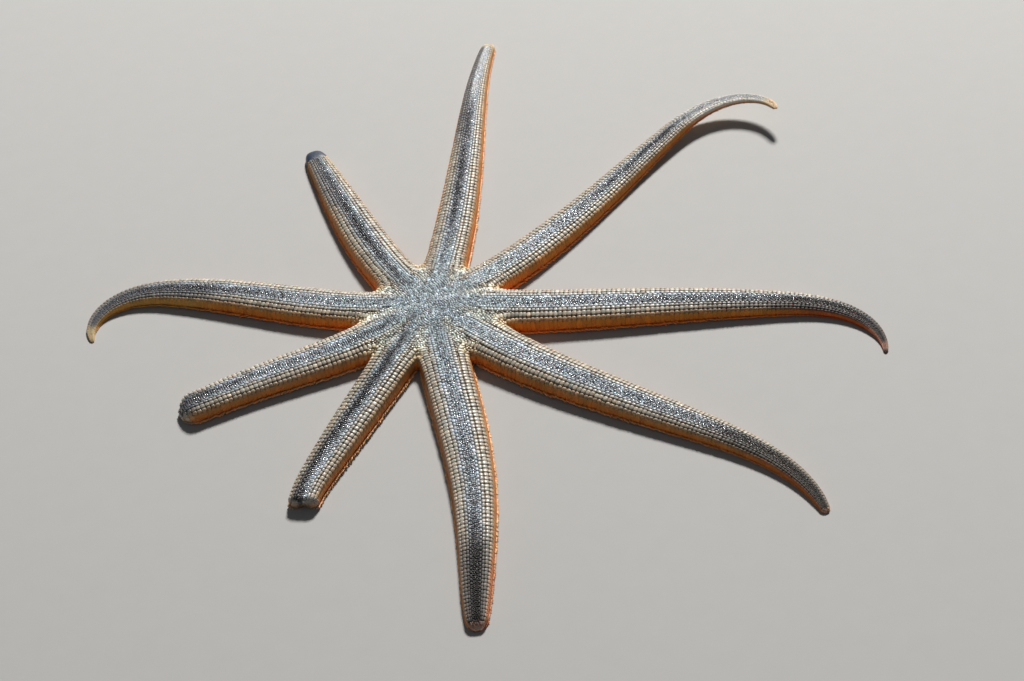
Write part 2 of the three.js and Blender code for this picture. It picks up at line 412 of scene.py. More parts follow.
def field(xy):
    """Around the disc, how far each place is from the arms' lines as a share of their half widths,
    as a soft minimum over the arms and the disc, whose own share is 1 at its rim and falls
    evenly inwards, so that neighbours meet in a rounded web; and the height. Between two arms the
    share is raised to a power, which keeps the web flat up to its rim."""
    found = [nearest(line, xy, FIELD_REACH) for line in LINES]
    halves = np.stack([np.interp(s, line.s, line.half) for (s, _, _), line in zip(found, LINES)])
    heights = np.stack([np.interp(s, line.s, line.height) for (s, _, _), line in zip(found, LINES)])
    share = np.stack([gap for _, _, gap in found]) / halves
    weight = np.exp(-(share - share.min(0)) / FORK_SOFTNESS)
    total = weight.sum(0)
    ordered = np.sort(share, 0)
    web = 1 - WEB_FALL * (1 - from_centre(xy) / WEB)
    extra = np.exp(-(web - share.min(0)) / FORK_SOFTNESS)
    fork = np.exp(-(ordered[1] - ordered[0]) / FORK_WIDTH)
    level = np.maximum(share.min(0) - FORK_SOFTNESS * np.log(total + extra), 0)
    return SimpleNamespace(
        level=level ** (1 + WEB_FLATNESS * fork),
        half=(weight * halves).sum(0) / total,
        height=(weight * heights).sum(0) / total,
        fork=fork,
    )


def settle(xy, w, sign, rounds=2):
    """Stands places near the disc on its back. Each is moved in plan to where the field's level is
    that of the section share w, by Newton steps along the slope, and gets the section's height
    and directions there. Where w is None it stays put and the share is read off."""
    xy = xy.copy()
    d = 0.1 * MM
    for turn in range(rounds):
        here = field(xy)
        slope = np.stack([
            (field(xy + [d, 0]).level - field(xy - [d, 0]).level) / (2 * d),
            (field(xy + [0, d]).level - field(xy - [0, d]).level) / (2 * d),
        ], -1)
        if w is None:
            break
        step_out = (section_at(w)[0] - here.level) / np.maximum((slope ** 2).sum(-1), 1e3)
        xy += np.clip(step_out, -4e-6, 4e-6)[:, None] * slope
    here = field(xy)
    share = np.interp(here.level, section_side, section_q) if w is None else w
    up = section_at(share)[1]
    side_ahead, up_ahead = section_at(np.clip(share + 0.01, 0, 1))
    side_behind, up_behind = section_at(np.clip(share - 0.01, 0, 1))
    outward = unit(slope)
    rise = -(up_ahead - up_behind) * here.height
    run = (side_ahead - side_behind) / np.maximum(np.linalg.norm(slope, axis=1), 1)
    out = unit(np.column_stack([outward * rise[:, None], run]))
    flat = np.column_stack([outward, np.zeros(len(xy))])
    along = unit(np.cross(flat, [0, 0, 1]) * sign[:, None])
    return SimpleNamespace(point=np.column_stack([xy, up * here.height]), along=along,
                           across=np.cross(out, along), out=out, fork=here.fork, w=share)


# ---- Colours of the animal ----
# One set of markings for skin and plates alike: blue-grey along the crown with a broken black
# line, grey-cream rows beside it, cream in the forks between arms, orange on the sides, pale
# pink beneath, and each arm's own end. Over them lies painted light: a near-white sheen on
# some crowns and two arm ends, paler rows on the side that faces the main lamp, and painted
# shade that makes the sides deeper and redder on the side in shade and darker orange low down.
def linear(r, g, b):
    """A colour as light, from its red, green and blue as seen on a screen, 0 to 255."""
    return (np.array([r, g, b]) / 255) ** 2.2


# stripe: how dark the black line is at 10, 30, 50, 70 and 90 % of the arm; below 0 a painted
# sheen, a near-white highlight, lightens the crown instead. wide and left: how wide it is and
# how far to the left it lies near the root, halfway and near the end. ends: a colour over the
# last so many mm, its softness in mm, and the shares of the section that it covers, with its
# strength.
LIVERIES = [
    dict(stripe=(0.05, 0.84, 1.05, 0.90, -0.4), wide=(0.12, 0.19, 0.19), left=(0.05, 0.07, 0.13), ends=[
        (linear(66, 68, 74), 36, 14, 0.12, 0.80, 0.8), (linear(180, 144, 100), 30, 12, -0.75, -0.5, 0.6),
        # On the first arm the near-white band on the crown's end is a painted highlight.
        (linear(226, 230, 234), 20, 9, -0.10, 0.18, 0.8), (linear(214, 194, 158), 2.2, 1.5, -1, 1, 0.8)]),
    dict(stripe=(-0.2, -0.2, 0.72, 1.05, 0.0), wide=(0.14, 0.17, 0.23), left=(0, -0.02, 0.02), ends=[
        (linear(104, 98, 92), 44, 8, -0.62, -0.16, 0.4),
        # On the second arm the near-white band on the right side of its end is a painted highlight.
        (linear(250, 246, 236), 20, 8, -0.80, -0.34, 0.95), (linear(196, 198, 200), 22, 8, -0.34, 1, 0.6),
        (linear(218, 160, 96), 16, 6, -1, -0.80, 0.6), (linear(228, 192, 140), 4, 3, -1, 1, 0.8)]),
    dict(stripe=(0.30, 0.15, 0.55, 0.70, 0.95), wide=(0.10, 0.12, 0.25), left=(-0.04, -0.05, -0.12), ends=[
        (linear(84, 76, 70), 40, 16, -0.62, -0.12, 0.7),
        (linear(44, 38, 37), 26, 12, -0.66, 0.2, 0.95), (linear(52, 45, 42), 16, 8, 0.2, 1, 0.8),
        (linear(206, 92, 44), 22, 8, -1, -0.66, 0.8), (linear(210, 142, 116), 7, 4, -1, -0.5, 0.8),
        (linear(206, 148, 126), 2.4, 1.2, -1, 1, 0.5), (linear(60, 42, 40), 0.8, 0.4, -1, 1, 0.9)]),
    dict(stripe=(-0.15, -0.15, 0.30, 0.55, 0.95), wide=(0.12, 0.13, 0.25), left=(0, 0, -0.05), ends=[
        (linear(92, 82, 72), 36, 14, -0.58, -0.14, 0.5),
        (linear(54, 48, 41), 26, 12, -0.60, 0.36, 0.93), (linear(104, 92, 80), 14, 8, 0.36, 0.8, 0.7),
        (linear(186, 98, 48), 18, 7, -0.82, -0.58, 0.7), (linear(222, 176, 156), 0.6, 0.5, -1, 1, 0.8)]),
    dict(stripe=(0.42, 0.05, 0.30, 0.50, 1.15), wide=(0.12, 0.13, 0.32), left=(0, -0.07, -0.03), ends=[
        (linear(80, 74, 70), 18, 8, -0.62, 0.52, 0.85), (linear(22, 19, 21), 17, 7, -0.26, 0.28, 0.97),
        (linear(206, 128, 88), 14, 6, 0.58, 1, 0.75), (linear(190, 150, 135), 1.0, 0.8, -1, 1, 0.8)]),
    dict(stripe=(0.70, 1.10, 1.25, 1.20, 1.20), wide=(0.14, 0.16, 0.17), left=(-0.06, -0.07, -0.2), ends=[
        (linear(176, 174, 170), 1.0, 0.8, -1, 1, 0.7), (linear(60, 60, 64), 3.0, 1.2, -0.45, 0.05, 0.9)]),
    dict(stripe=(0.60, 0.80, 0.20, 0.45, 1.05), wide=(0.13, 0.12, 0.14), left=(-0.01, 0, -0.08), ends=[
        (linear(84, 86, 92), 6, 4, -0.4, 0.4, 0.8), (linear(150, 150, 150), 1.0, 0.8, -1, 1, 0.6),
        (linear(214, 206, 184), 1.5, 1.2, 0.45, 1, 0.7)]),
    dict(stripe=(0.50, 0.20, 0.60, 1.10, 0.60), wide=(0.12, 0.14, 0.24), left=(-0.06, 0.04, 0.06), ends=[
        (linear(70, 73, 80), 32, 12, -0.12, 0.56, 0.8), (linear(108, 102, 96), 18, 9, -0.6, -0.12, 0.75),
        (linear(212, 164, 84), 30, 10, 0.6, 1, 0.75), (linear(208, 182, 134), 3.6, 2, -1, 1, 0.8)]),
    dict(stripe=(0.80, 0.95, 1.05, 1.10, 0.85), wide=(0.14, 0.17, 0.2), left=(0.07, 0.05, 0.10), ends=[
        (linear(92, 94, 98), 22, 9, 0.04, 0.62, 0.7), (linear(214, 176, 120), 15, 6, -1, -0.55, 0.7),
        (linear(180, 134, 84), 15, 6, 0.62, 1, 0.6), (linear(20, 38, 62), 4.4, 0.5, -1, 1, 1)]),
]
# How much paler each arm's rows are, right and left: painted light on the side that faces the
# main lamp. And how tan its right and left shoulder is: the shoulder's own tan, painted deeper
# and redder on the side in shade as painted shade and red reflected light.
SIDES = np.array([
    (0.05, 0.0, 0.5, 0.6), (-0.05, 0.2, 0.9, 0.5), (0.0, 0.36, 0.9, 0.4), (0.0, 0.22, 0.6, 0.22),
    (0.35, 0.15, 0.35, 0.35), (0.05, 0.0, 0.1, 0.45), (0.42, 0.0, 0.1, 0.5), (0.38, -0.05, 0.15, 0.9),
    (0.12, 0.0, 0.3, 0.8),
])
# A painted highlight: the near-white sheen laid over some crowns.
PAINTED_SHEEN = linear(236, 240, 244)
CROWN = linear(178, 189, 200)
DISC_CAST = np.array([0.95, 1.01, 0.99])
BLACK = linear(34, 35, 42)
ROWS = linear(154, 145, 130)
WEB_TINT = linear(220, 226, 218)
FORK = linear(220, 198, 158)
SHOULDER = linear(176, 140, 102)
RIM = linear(214, 148, 62)
GOLD = linear(240, 156, 40)
ORANGE = linear(244, 138, 18)
# Painted shade: the darker orange low on each side, under the side plates' lower edge.
UNDER_EDGE_SHADE = linear(206, 104, 14)
PEACH = linear(246, 148, 74)
CREAM = linear(240, 206, 156)


def ripple(a, b, seed):
    """Smooth noise between about -1 and 1 over two coordinates: five sines of mixed directions and
    wavelengths around 1, added up."""
    rng = np.random.default_rng(seed)
    total = 0
    for _ in range(5):
        bearing, phase = rng.uniform(0, 2 * np.pi, 2)
        rate = 2 * np.pi * rng.uniform(0.6, 1.6)
        total = total + np.sin(rate * (a * np.cos(bearing) + b * np.sin(bearing)) + phase)
    return total / 3


def mix(first, second, share):
    """From the first colour to the second, by the share of each place."""
    share = np.clip(share, 0, 1)[:, None]
    return first * (1 - share) + second * share


def step(edge, width, value):
    """0 below the edge, 1 above it, smooth over the width."""
    t = np.clip((value - edge) / width + 0.5, 0, 1)
    return t * t * (3 - 2 * t)


def livery(arm, s, q, r, fork):
    """The colour at places given by their arm, distance along it, share of the section, distance
    from the centre and nearness to a fork: from crown to rows to shoulder to orange by the
    section's share, the black line by a bell around the crown times a broken pattern along the
    arm, or a painted sheen in its place, painted light and shade by side, and the fork and end
    colours over them."""
    reach = REACHES[arm]
    u = s / reach
    w = np.abs(q)
    flow = arm * 7.0
    drift = 0.025 * ripple(s / (9 * MM), flow, 3)
    rows = np.maximum(step(0.25, 0.14, w + drift), step(0.5, 0.4, fork)) * step(6.5 * MM, 5 * MM, r)
    off_disc = step(16 * MM, 14 * MM, r)[:, None]
    colour = mix(CROWN * (DISC_CAST * (1 - off_disc) + 0.88 * off_disc), ROWS, rows)
    colour = mix(colour, WEB_TINT, 0.8 * step(0.32, 0.4, fork) * step(7 * MM, 5 * MM, r))
    colour = mix(colour, FORK, 0.85 * step(0.3, 0.4, fork) * step(0.42, 0.2, w) * step(10 * MM, 3 * MM, r))
    darkness, wide, left = np.zeros(len(w)), np.ones(len(w)), np.zeros(len(w))
    for k, own in enumerate(LIVERIES):
        mine = arm == k
        darkness[mine] = np.interp(u[mine], [0.1, 0.3, 0.5, 0.7, 0.9], own["stripe"])
        wide[mine] = np.interp(u[mine], [0.2, 0.5, 0.8], own["wide"])
        left[mine] = np.interp(u[mine], [0.2, 0.5, 0.8], own["left"])
    colour = colour * (1 + 0.15 * ripple(s / (3.2 * MM), q * 4 + flow, 8) * (1 - rows))[:, None]
    patches = ripple(s / (8 * MM), q * 1.5 + flow, 5)
    specks = ripple(s / (1.6 * MM), q * 5 + flow, 6)
    broken = darkness * (0.95 + 0.4 * (1 - 0.6 * darkness) * patches) + 0.2 * specks * (darkness > 0.02)
    bell = np.exp(-(((q - left + drift) / wide) ** 2))
    colour = mix(colour, BLACK, np.clip(bell * broken * step(7.5 * MM, 6 * MM, r), 0, 0.98))
    # Where the stripe is below 0, a painted sheen: the crown runs to a near-white highlight.
    painted_sheen_share = np.clip(-darkness, 0, 1) * (1 - step(0.24, 0.1, w)) * step(7 * MM, 6 * MM, r)
    colour = mix(colour, PAINTED_SHEEN, painted_sheen_share)
    # The rows are paler on the side that faces the main lamp: painted light. The shoulder, side and fringe
    # are deeper and redder on the side in shade: painted shade and painted red reflected light over the
    # shoulder's own tan.
    leftward = step(0, 0.3, q)
    right_lit_paling, left_lit_paling, right_tan_and_shade, left_tan_and_shade = SIDES[arm].T
    lit_paling = right_lit_paling * (1 - leftward) + left_lit_paling * leftward
    tan_and_shade = right_tan_and_shade * (1 - leftward) + left_tan_and_shade * leftward
    lighter = lit_paling * step(0.24, 0.2, w) * (1 - step(0.66, 0.06, w))
    colour = colour * (1 + lighter[:, None] * [0.85, 1, 1.3])
    colour = mix(colour, SHOULDER, tan_and_shade * step(0.535, 0.06, w))
    colour = mix(colour, RIM, 1.1 * tan_and_shade * step(0.645, 0.05, w))
    colour = mix(colour, mix(GOLD, ORANGE, 1.1 * tan_and_shade), step(0.70, 0.05, w))
    # Darker orange low on the side: painted shade under the side plates' lower edge.
    colour = mix(colour, UNDER_EDGE_SHADE, 0.8 * step(0.84, 0.06, w))
    colour = mix(colour, mix(CREAM, PEACH, 1.1 * tan_and_shade), step(0.905, 0.03, w))
    for k, own in enumerate(LIVERIES):
        for end, length, soft, low, high, strength in own["ends"]:
            band = step(low, 0.1, q) if low > -1 else 1
            band = band * (1 - step(high, 0.1, q)) if high < 1 else band
            over = (arm == k) * step(reach - length * MM, soft * MM, s) * band
            colour = mix(colour, end, strength * over)
    return colour


# ---- Skin ----
# The flesh under the plates: one leathery hide over disc and arms, flat beneath, with a furrow
# along each arm and the mouth in the middle. The arms are first swept at their root's width and
# fused by remeshing, and then drawn in to their taper, which keeps the thin ends finely meshed.
COAT = 0.32 * MM        # the coat's depth on the back of a full arm
SIDE_COAT = 0.16 * MM   # and what is added to that on its sides
SOLE = 0.30 * MM        # the skin's height above the ground
THIN_FROM = 4.2 * MM    # half width below which coat and sole grow thinner
FURROW = 0.26           # half width and height of the furrow, as shares of the arm's half width
FURROW_HEIGHT = 0.24
MOUTH = 3.6 * MM        # radius and height of the mouth's vault
MOUTH_HEIGHT = 1.9 * MM
ROOT_END = 25 * MM      # up to here an arm is as broad in the blank as in the end
BLUNT = 3.5 * MM        # how much of an arm's end the blank rounds off
# For each arm: the bare tip, the last stretch over which the plates sink into a smooth hide, and
# how matt that stretch is.
BARE = np.array([0.5, 0.2, 0.3, 0.25, 0.6, 0.3, 0.3, 0.2, 4.4]) * MM
SMOOTH = np.array([16, 14, 16, 22, 20, 0.1, 0.1, 26, 12]) * MM
MATTE = np.array([0.2, 0.2, 0.9, 0.95, 0.95, 0, 0, 0.9, 0.5])
for line in LINES:
    blunt = np.sqrt(1 - 0.98 * np.clip((line.s - line.reach + BLUNT) / BLUNT, 0, 1) ** 2)
    line.half_blank = np.interp(np.minimum(line.s, ROOT_END), line.s, line.half) * blunt
    line.height_blank = np.interp(np.minimum(line.s, ROOT_END), line.s, line.height) * blunt


def thinned(half):
    """What is left of the coat's and the sole's depth where an arm has this half width."""
    return np.clip(half / THIN_FROM, 0, 1) ** 0.8


def full_depth(w):
    """The coat's depth on a full arm: more on the sides than on the back."""
    return COAT + SIDE_COAT * step(0.70, 0.12, w)


def coat_depth(k, s, w):
    """How deep the skin lies under the plates' tops: less towards the thin end, and almost
    nothing on the bare tip."""
    line = LINES[k]
    half = np.interp(s, line.s, line.half)
    bare = step(line.reach - BARE[k], 0.6 * MM, s)
    return full_depth(w) * thinned(half) * (1 - 0.9 * bare)


def furrow_at(half, side, r):
    """How high the sole rises into the arm's furrow at a distance to the side of its line, and
    into the mouth around the disc's centre: both round-topped vaults."""
    furrow = np.clip(1 - (side / (FURROW * half)) ** 2, 0, 1) ** 0.6 * FURROW_HEIGHT * half
    mouth = np.clip(1 - (r / MOUTH) ** 2, 0, 1) ** 0.6 * MOUTH_HEIGHT
    return np.maximum(furrow, mouth)


def smoothed(arm, s):
    """How far the plates have sunk into a smooth hide: 0 along an arm and 1 at its end."""
    reach = REACHES[arm]
    return step(reach - SMOOTH[arm] / 2, SMOOTH[arm], s)


ring_q = np.linspace(1, -1, 31)
ring_side, ring_up = section_at(ring_q)
ring_side = np.concatenate([np.sign(ring_q) * ring_side, [-0.8, -0.4, 0.4, 0.8]])
ring_up = np.concatenate([ring_up, [0, 0, 0, 0]])


def tube_faces(rows, ring):
    """Quads between the rings of a tube and a many-sided face on each end."""
    a = np.arange(rows - 1)[:, None] * ring + np.arange(ring)
    b = np.arange(rows - 1)[:, None] * ring + (np.arange(ring) + 1) % ring
    quads = np.stack([a, a + ring, b + ring, b], -1).reshape(-1)
    ends = [np.arange(ring), (rows - 1) * ring + np.arange(ring)[::-1]]
    return np.concatenate([quads, *ends]), np.concatenate([np.full((rows - 1) * ring, 4), [ring, ring]])


def arm_blank(line):
    """The section carried along the arm's line at the root's width, drawn in by the coat."""
    body = np.arange(3 * MM, line.reach - BLUNT, 1 * MM)
    s = np.concatenate([body, np.linspace(line.reach - BLUNT, line.reach, 14)])
    x, y, heading, half, height = (a[:, None] for a in along_line(
        line, s, "x", "y", "heading", "half_blank", "height_blank"))
    side = ring_side * np.maximum(half - COAT, 0.2 * MM)
    up = SOLE + ring_up * np.maximum(height - COAT - SOLE, 0.1 * MM)
    return np.stack([*beside(x, y, heading, side), up], -1)


def disc_blank():
    """A rounded drum: a profile of radius and height turned about the disc's centre."""
    r = np.array([0.2, 6, 11.4, 12.1, 12.1, 11.4, 9, 6, 3, 0.2]) * MM
    z = np.array([0.3, 0.3, 0.3, 0.4, 1.6, 2.5, 3.3, 3.7, 3.8, 3.8]) * MM
    turn = np.linspace(0, 2 * np.pi, 72, endpoint=False)
    return np.stack([centre[0] + r[:, None] * np.cos(turn), centre[1] + r[:, None] * np.sin(turn),
                     np.tile(z[:, None], (1, len(turn)))], -1)


blank_verts, blank_loops, blank_sizes = [], [], []
for block in [arm_blank(line) for line in LINES] + [disc_blank()]:
    loops, sizes = tube_faces(*block.shape[:2])
    blank_loops.append(loops + sum(len(v) for v in blank_verts))
    blank_verts.append(block.reshape(-1, 3))
    blank_sizes.append(sizes)
blank = mesh_piece("skin_blank", *map(np.concatenate, (blank_verts, blank_loops, blank_sizes)))
fuse = blank.modifiers.new("fuse", "REMESH")
fuse.mode = "VOXEL"
fuse.voxel_size = 0.46 * MM
ease = blank.modifiers.new("ease", "SMOOTH")
ease.factor = 0.5
ease.iterations = 4
fused = bpy.data.meshes.new_from_object(blank.evaluated_get(bpy.context.evaluated_depsgraph_get()))
bpy.data.objects.remove(blank)


def mesh_array(mesh, field_name):
    values = np.empty(len(mesh.vertices) * 3, np.float32)
    mesh.vertices.foreach_get(field_name, values)
    return values.reshape(-1, 3).astype(float)


v = mesh_array(fused, "co")
blank_v = v.copy()
facing = mesh_array(fused, "normal")
found = [nearest(line, v[:, :2]) for line in LINES]
skin_arm = np.stack([gap / np.interp(s, line.s, line.half_blank)
                     for (s, _, gap), line in zip(found, LINES)]).argmin(0)
skin_s, skin_left = (np.choose(skin_arm, [f[i] for f in found]) for i in (0, 1))
skin_r = from_centre(v)
skin_w = np.zeros(len(v))
skin_fork = np.zeros(len(v))
above = facing[:, 2] > -0.45
for k, line in enumerate(LINES):
    mine = skin_arm == k
    s, left = skin_s[mine], skin_left[mine]
    x, y, z, heading, half, height, half_blank, height_blank = along_line(
        line, s, "x", "y", "z", "heading", "half", "height", "half_blank", "height_blank")
    side = left / np.maximum(half_blank - COAT, 0.2 * MM)
    up = (v[mine, 2] - SOLE) / np.maximum(height_blank - COAT - SOLE, 0.1 * MM)
    w = section_share(np.abs(side), up)
    skin_w[mine] = w
    # The sole is drawn in with the arm, and its middle rises into the furrow.
    sole_side = np.clip(side, -1, 1) * (half - coat_depth(k, s, np.ones(len(s))))
    furrow = furrow_at(half, sole_side, skin_r[mine])
    sole = np.column_stack([*beside(x, y, heading, sole_side), z + SOLE * thinned(half) + furrow])
    flat_sole = np.column_stack([v[mine, :2], SOLE + furrow])
    q = np.sign(left) * w
    back = frame_at(line, s, q)
    top = back.point - back.out * coat_depth(k, s, w)[:, None]
    v[mine] = np.where(above[mine, None], top, np.where(s[:, None] < ROOT_END - 2 * MM, flat_sole, sole))
around = np.flatnonzero((skin_r < NEAR) & above)
here = field(blank_v[around, :2])
swollen = here.level * here.half / (here.half - COAT)
risen = (blank_v[around, 2] - SOLE) / (here.height - COAT - SOLE)
skin_w[around] = section_share(swollen, risen)
stood = settle(blank_v[around, :2], skin_w[around], np.sign(skin_left[around]), 3)
v[around] = stood.point - stood.out * full_depth(skin_w[around])[:, None]
skin_fork[around] = stood.fork
# The healing stump of the sixth arm has swollen into two lobes.
stump = LINES[5]
lobed = (skin_arm == 5) & (skin_s > stump.reach - 2 * MM)
cleft = 0.7 * MM * np.exp(-((skin_left[lobed] / (0.9 * MM)) ** 2))
pull = cleft * step(stump.reach - 1 * MM, 1 * MM, skin_s[lobed])
v[lobed, :2] -= pull[:, None] * np.array([np.cos(stump.heading[-1]), np.sin(stump.heading[-1])])
fused.vertices.foreach_set("co", v.astype(np.float32).ravel())
fused.update()
fused.polygons.foreach_set("use_smooth", np.full(len(fused.polygons), True))
skin = bpy.data.objects.new("skin", fused)
bpy.context.collection.objects.link(skin)


def paint(piece, colours, wet=1.0):
    """Stores one colour per point of the mesh as the attribute tint, with how wet it is as alpha."""
    tint = piece.data.color_attributes.new("tint", "FLOAT_COLOR", "POINT")
    wetness = np.broadcast_to(np.reshape(wet, (-1, 1)), (len(colours), 1))
    tint.data.foreach_set("color", np.hstack([colours, wetness]).astype(np.float32).ravel())


skin_tint = livery(skin_arm, skin_s, np.sign(skin_left) * skin_w, skin_r, skin_fork)
bare = step(REACHES[skin_arm] - BARE[skin_arm], 0.8 * MM, skin_s)
# The skin between the plates is darker and browner than the plates: partly its own hue and partly painted
# shade down in the gaps, less on the sides and in the webs, and eased away on the bare and smoothed ends.
flank = step(0.64, 0.06, skin_w)[:, None]
webbed = (step(0.32, 0.3, skin_fork) * step(8 * MM, 3 * MM, skin_r))[:, None]
gaps = np.array([0.72, 0.63, 0.52]) + 0.25 * webbed
between = skin_tint * (gaps * (1 - flank) + np.array([0.9, 0.75, 0.62]) * flank)
skin_tint = mix(between, skin_tint, np.maximum(bare, 0.75 * smoothed(skin_arm, skin_s)))
skin_tint = np.where(above[:, None], skin_tint, linear(214, 168, 122))
paint(skin, skin_tint, bare * np.where(skin_arm == 8, 0.35, 1))

skin_finish = Finish("skin")
mottle = skin_finish.grey(0.75 + 0.5 * skin_finish.noise(0.0012))
skin_finish.set(
    Base_Color=skin_finish.times(skin_finish.attribute("tint"), mottle),
    Roughness=0.68 - 0.4 * skin_finish.attribute("tint", "Alpha"),
    Subsurface_Weight=0.12,
    Subsurface_Scale=0.001,
    Coat_Weight=0.8 * skin_finish.attribute("tint", "Alpha"),
    Coat_Roughness=0.12,
)
skin_finish.bump(1 - skin_finish.grains(0.00022), 0.00003)
skin.data.materials.append(skin_finish.material)
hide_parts(*frame["nodes"])
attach(skin, "root")


# ---- Rows along the flanks ----
# Each side of an arm carries four rows of small upright plates (paxillae), each a short column
# with a rounded crown of fine grains. The rows turn round the fork into the next arm. Below them
# stand the tall orange plates of the side, with a row of beads on top and a fringe of flat
# spines at the foot.
def knob(levels, turns, square=2.0, top=0.1):
    """A knob on a grid of level and turn: each level is a ring of a radius and a height, out of
    round by a superellipse's power, closed by a centre point above and one many-sided face
    below."""
    turn = 2 * np.pi * (np.arange(turns) + 0.5) / turns
    r = (np.abs(np.cos(turn)) ** square + np.abs(np.sin(turn)) ** square) ** (-1 / square)
    rings = np.array([[radius * r * np.cos(turn), radius * r * np.sin(turn), np.full(turns, height)]
                      for radius, height in levels]).transpose(0, 2, 1).reshape(-1, 3)
    verts = np.vstack([rings, [0, 0, levels[-1][1] + top]])
    a = np.arange(len(levels) - 1)[:, None] * turns + np.arange(turns)
    b = np.arange(len(levels) - 1)[:, None] * turns + (np.arange(turns) + 1) % turns
    quads = np.stack([a, b, b + turns, a + turns], -1).reshape(-1)
    last = (len(levels) - 1) * turns
    fan = np.stack([last + np.arange(turns), last + (np.arange(turns) + 1) % turns,
                    np.full(turns, last + turns)], -1)
    loops = np.concatenate([quads, fan.reshape(-1), np.arange(turns)[::-1]])
    sizes = np.concatenate([np.full((len(levels) - 1) * turns, 4), np.full(turns, 3), [turns]])
    return SimpleNamespace(verts=verts, loops=loops, sizes=sizes)


def scatter(name, groups, finishes):
    """One mesh from many small shapes: each shape's points are scaled, turned to their root's
    directions and moved there, as whole arrays. Each shape's colour darkens towards its foot, as
    painted shade down between the shapes, is brightest near its top, and runs to a second colour
    on its outer edge, and its patch of the bake map lies at its root's place on the unwrapped back."""
    verts, loops, sizes, tints, wets, maps, worn = [], [], [], [], [], [], []
    base = 0
    for g in groups:
        count, points = len(g.root), len(g.shape.verts)
        p = g.shape.verts
        placed = (g.root[:, None]
                  + g.along[:, None] * (p[:, 0] * g.length[:, None])[..., None]
                  + g.across[:, None] * (p[:, 1] * g.width[:, None])[..., None]
                  + g.out[:, None] * (p[:, 2] * g.height[:, None])[..., None])
        verts.append(placed.reshape(-1, 3))
        loops.append((g.shape.loops + (base + np.arange(count) * points)[:, None]).reshape(-1))
        sizes.append(np.tile(g.shape.sizes, count))
        outer = (0.5 + 0.5 * g.sign[:, None] * p[:, 1]).clip(0, 1)[..., None]
        levels = np.stack([np.interp(p[:, 2], [0, 0.45, 0.95], part) for part in np.eye(3)])
        # Painted shade: each point's colour is scaled by the group's shade at its height.
        shade = (g.shade @ levels)[..., None]
        tints.append(((g.tint[:, None] * (1 - outer) + g.tint_outer[:, None] * outer) * shade).reshape(-1, 3))
        wets.append(np.repeat(g.wet, points))
        spot = g.map[:, None] + 0.0015 * np.clip(p[:, :2], -1, 1)
        maps.append(spot[:, g.shape.loops].reshape(-1, 2))
        worn.append(np.full(count * len(g.shape.sizes), finishes.index(g.finish)))
        base += count * points
    piece = mesh_piece(name, np.concatenate(verts), np.concatenate(loops), np.concatenate(sizes))
    paint(piece, np.concatenate(tints), np.concatenate(wets))
    bake_map = piece.data.uv_layers.new(name="OFBake", do_init=False)
    bake_map.uv.foreach_set("vector", np.concatenate(maps).astype(np.float32).ravel())
    for finish in finishes:
        piece.data.materials.append(finish.material)
    piece.data.polygons.foreach_set("material_index", np.concatenate(worn).astype(np.int32))
    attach(piece, "root")
    return piece


FULL_HALF = 4.4 * MM   # half width of a full arm, below which plates and spines are smaller
PITCHES = np.array([0.97, 0.92, 0.88, 0.87, 0.88, 0.95, 0.89, 0.86, 0.94]) * MM


def pitch_at(k, s):
    """Spacing of the plates along an arm: finer near the disc and a little finer where it thins."""
    line = LINES[k]
    half = np.interp(s, line.s, line.half)
    by_disc = 1 - 0.6 * np.exp(-((s / (15.5 * MM)) ** 2))
    return PITCHES[k] * by_disc * np.clip(half / FULL_HALF, 0.02, 1) ** 0.3


def paces(k, first, last, share=1.0):
    """Distances along an arm that keep its spacing: the running sum of 1 / spacing is cut at whole
    numbers."""
    line = LINES[k]
    local = share * pitch_at(k, line.s)
    count = np.concatenate([[0], np.cumsum(np.diff(line.s) / local[1:])])
    low, high = np.interp([first, last], line.s, count)
    return np.interp(np.arange(np.ceil(low), high), count, line.s)


def standing(k, s, q, turning=True):
    """Places on one arm's back with their directions. Those near the disc stand on its field: where
    it has their share of the section if the row turns round the fork, or else straight above."""
    line = LINES[k]
    at = frame_at(line, s, q)
    at.fork = np.zeros(len(s))
    near = s < NEAR
    if near.any():
        stood = settle(at.point[near, :2], np.abs(q[near]) if turning else None, np.sign(q[near]))
        for name in ("point", "along", "across", "out", "fork"):
            getattr(at, name)[near] = getattr(stood, name)
    at.arm, at.s, at.q = np.full(len(s), k), s, q
    return at


def joined(parts):
    """Several sets of places as one."""
    return SimpleNamespace(**{name: np.concatenate([getattr(p, name) for p in parts])
                              for name in ("point", "along", "across", "out", "fork", "arm", "s", "q")})


def flank_row(k, w, first, offset=0.0):
    """Both of the rows between arm k and the next at the section share w, from the distance first
    on, where the disc's own plates end."""
    sides = []
    for arm, sign in ((k, -1), ((k + 1) % COUNT, 1)):
        s = paces(arm, first, LINES[arm].reach - BARE[arm])
        s = np.clip(s + offset * pitch_at(arm, s), 0, LINES[arm].reach)
        sides.append(standing(arm, s, np.full(len(s), sign * w), turning=False))
    return joined(sides)


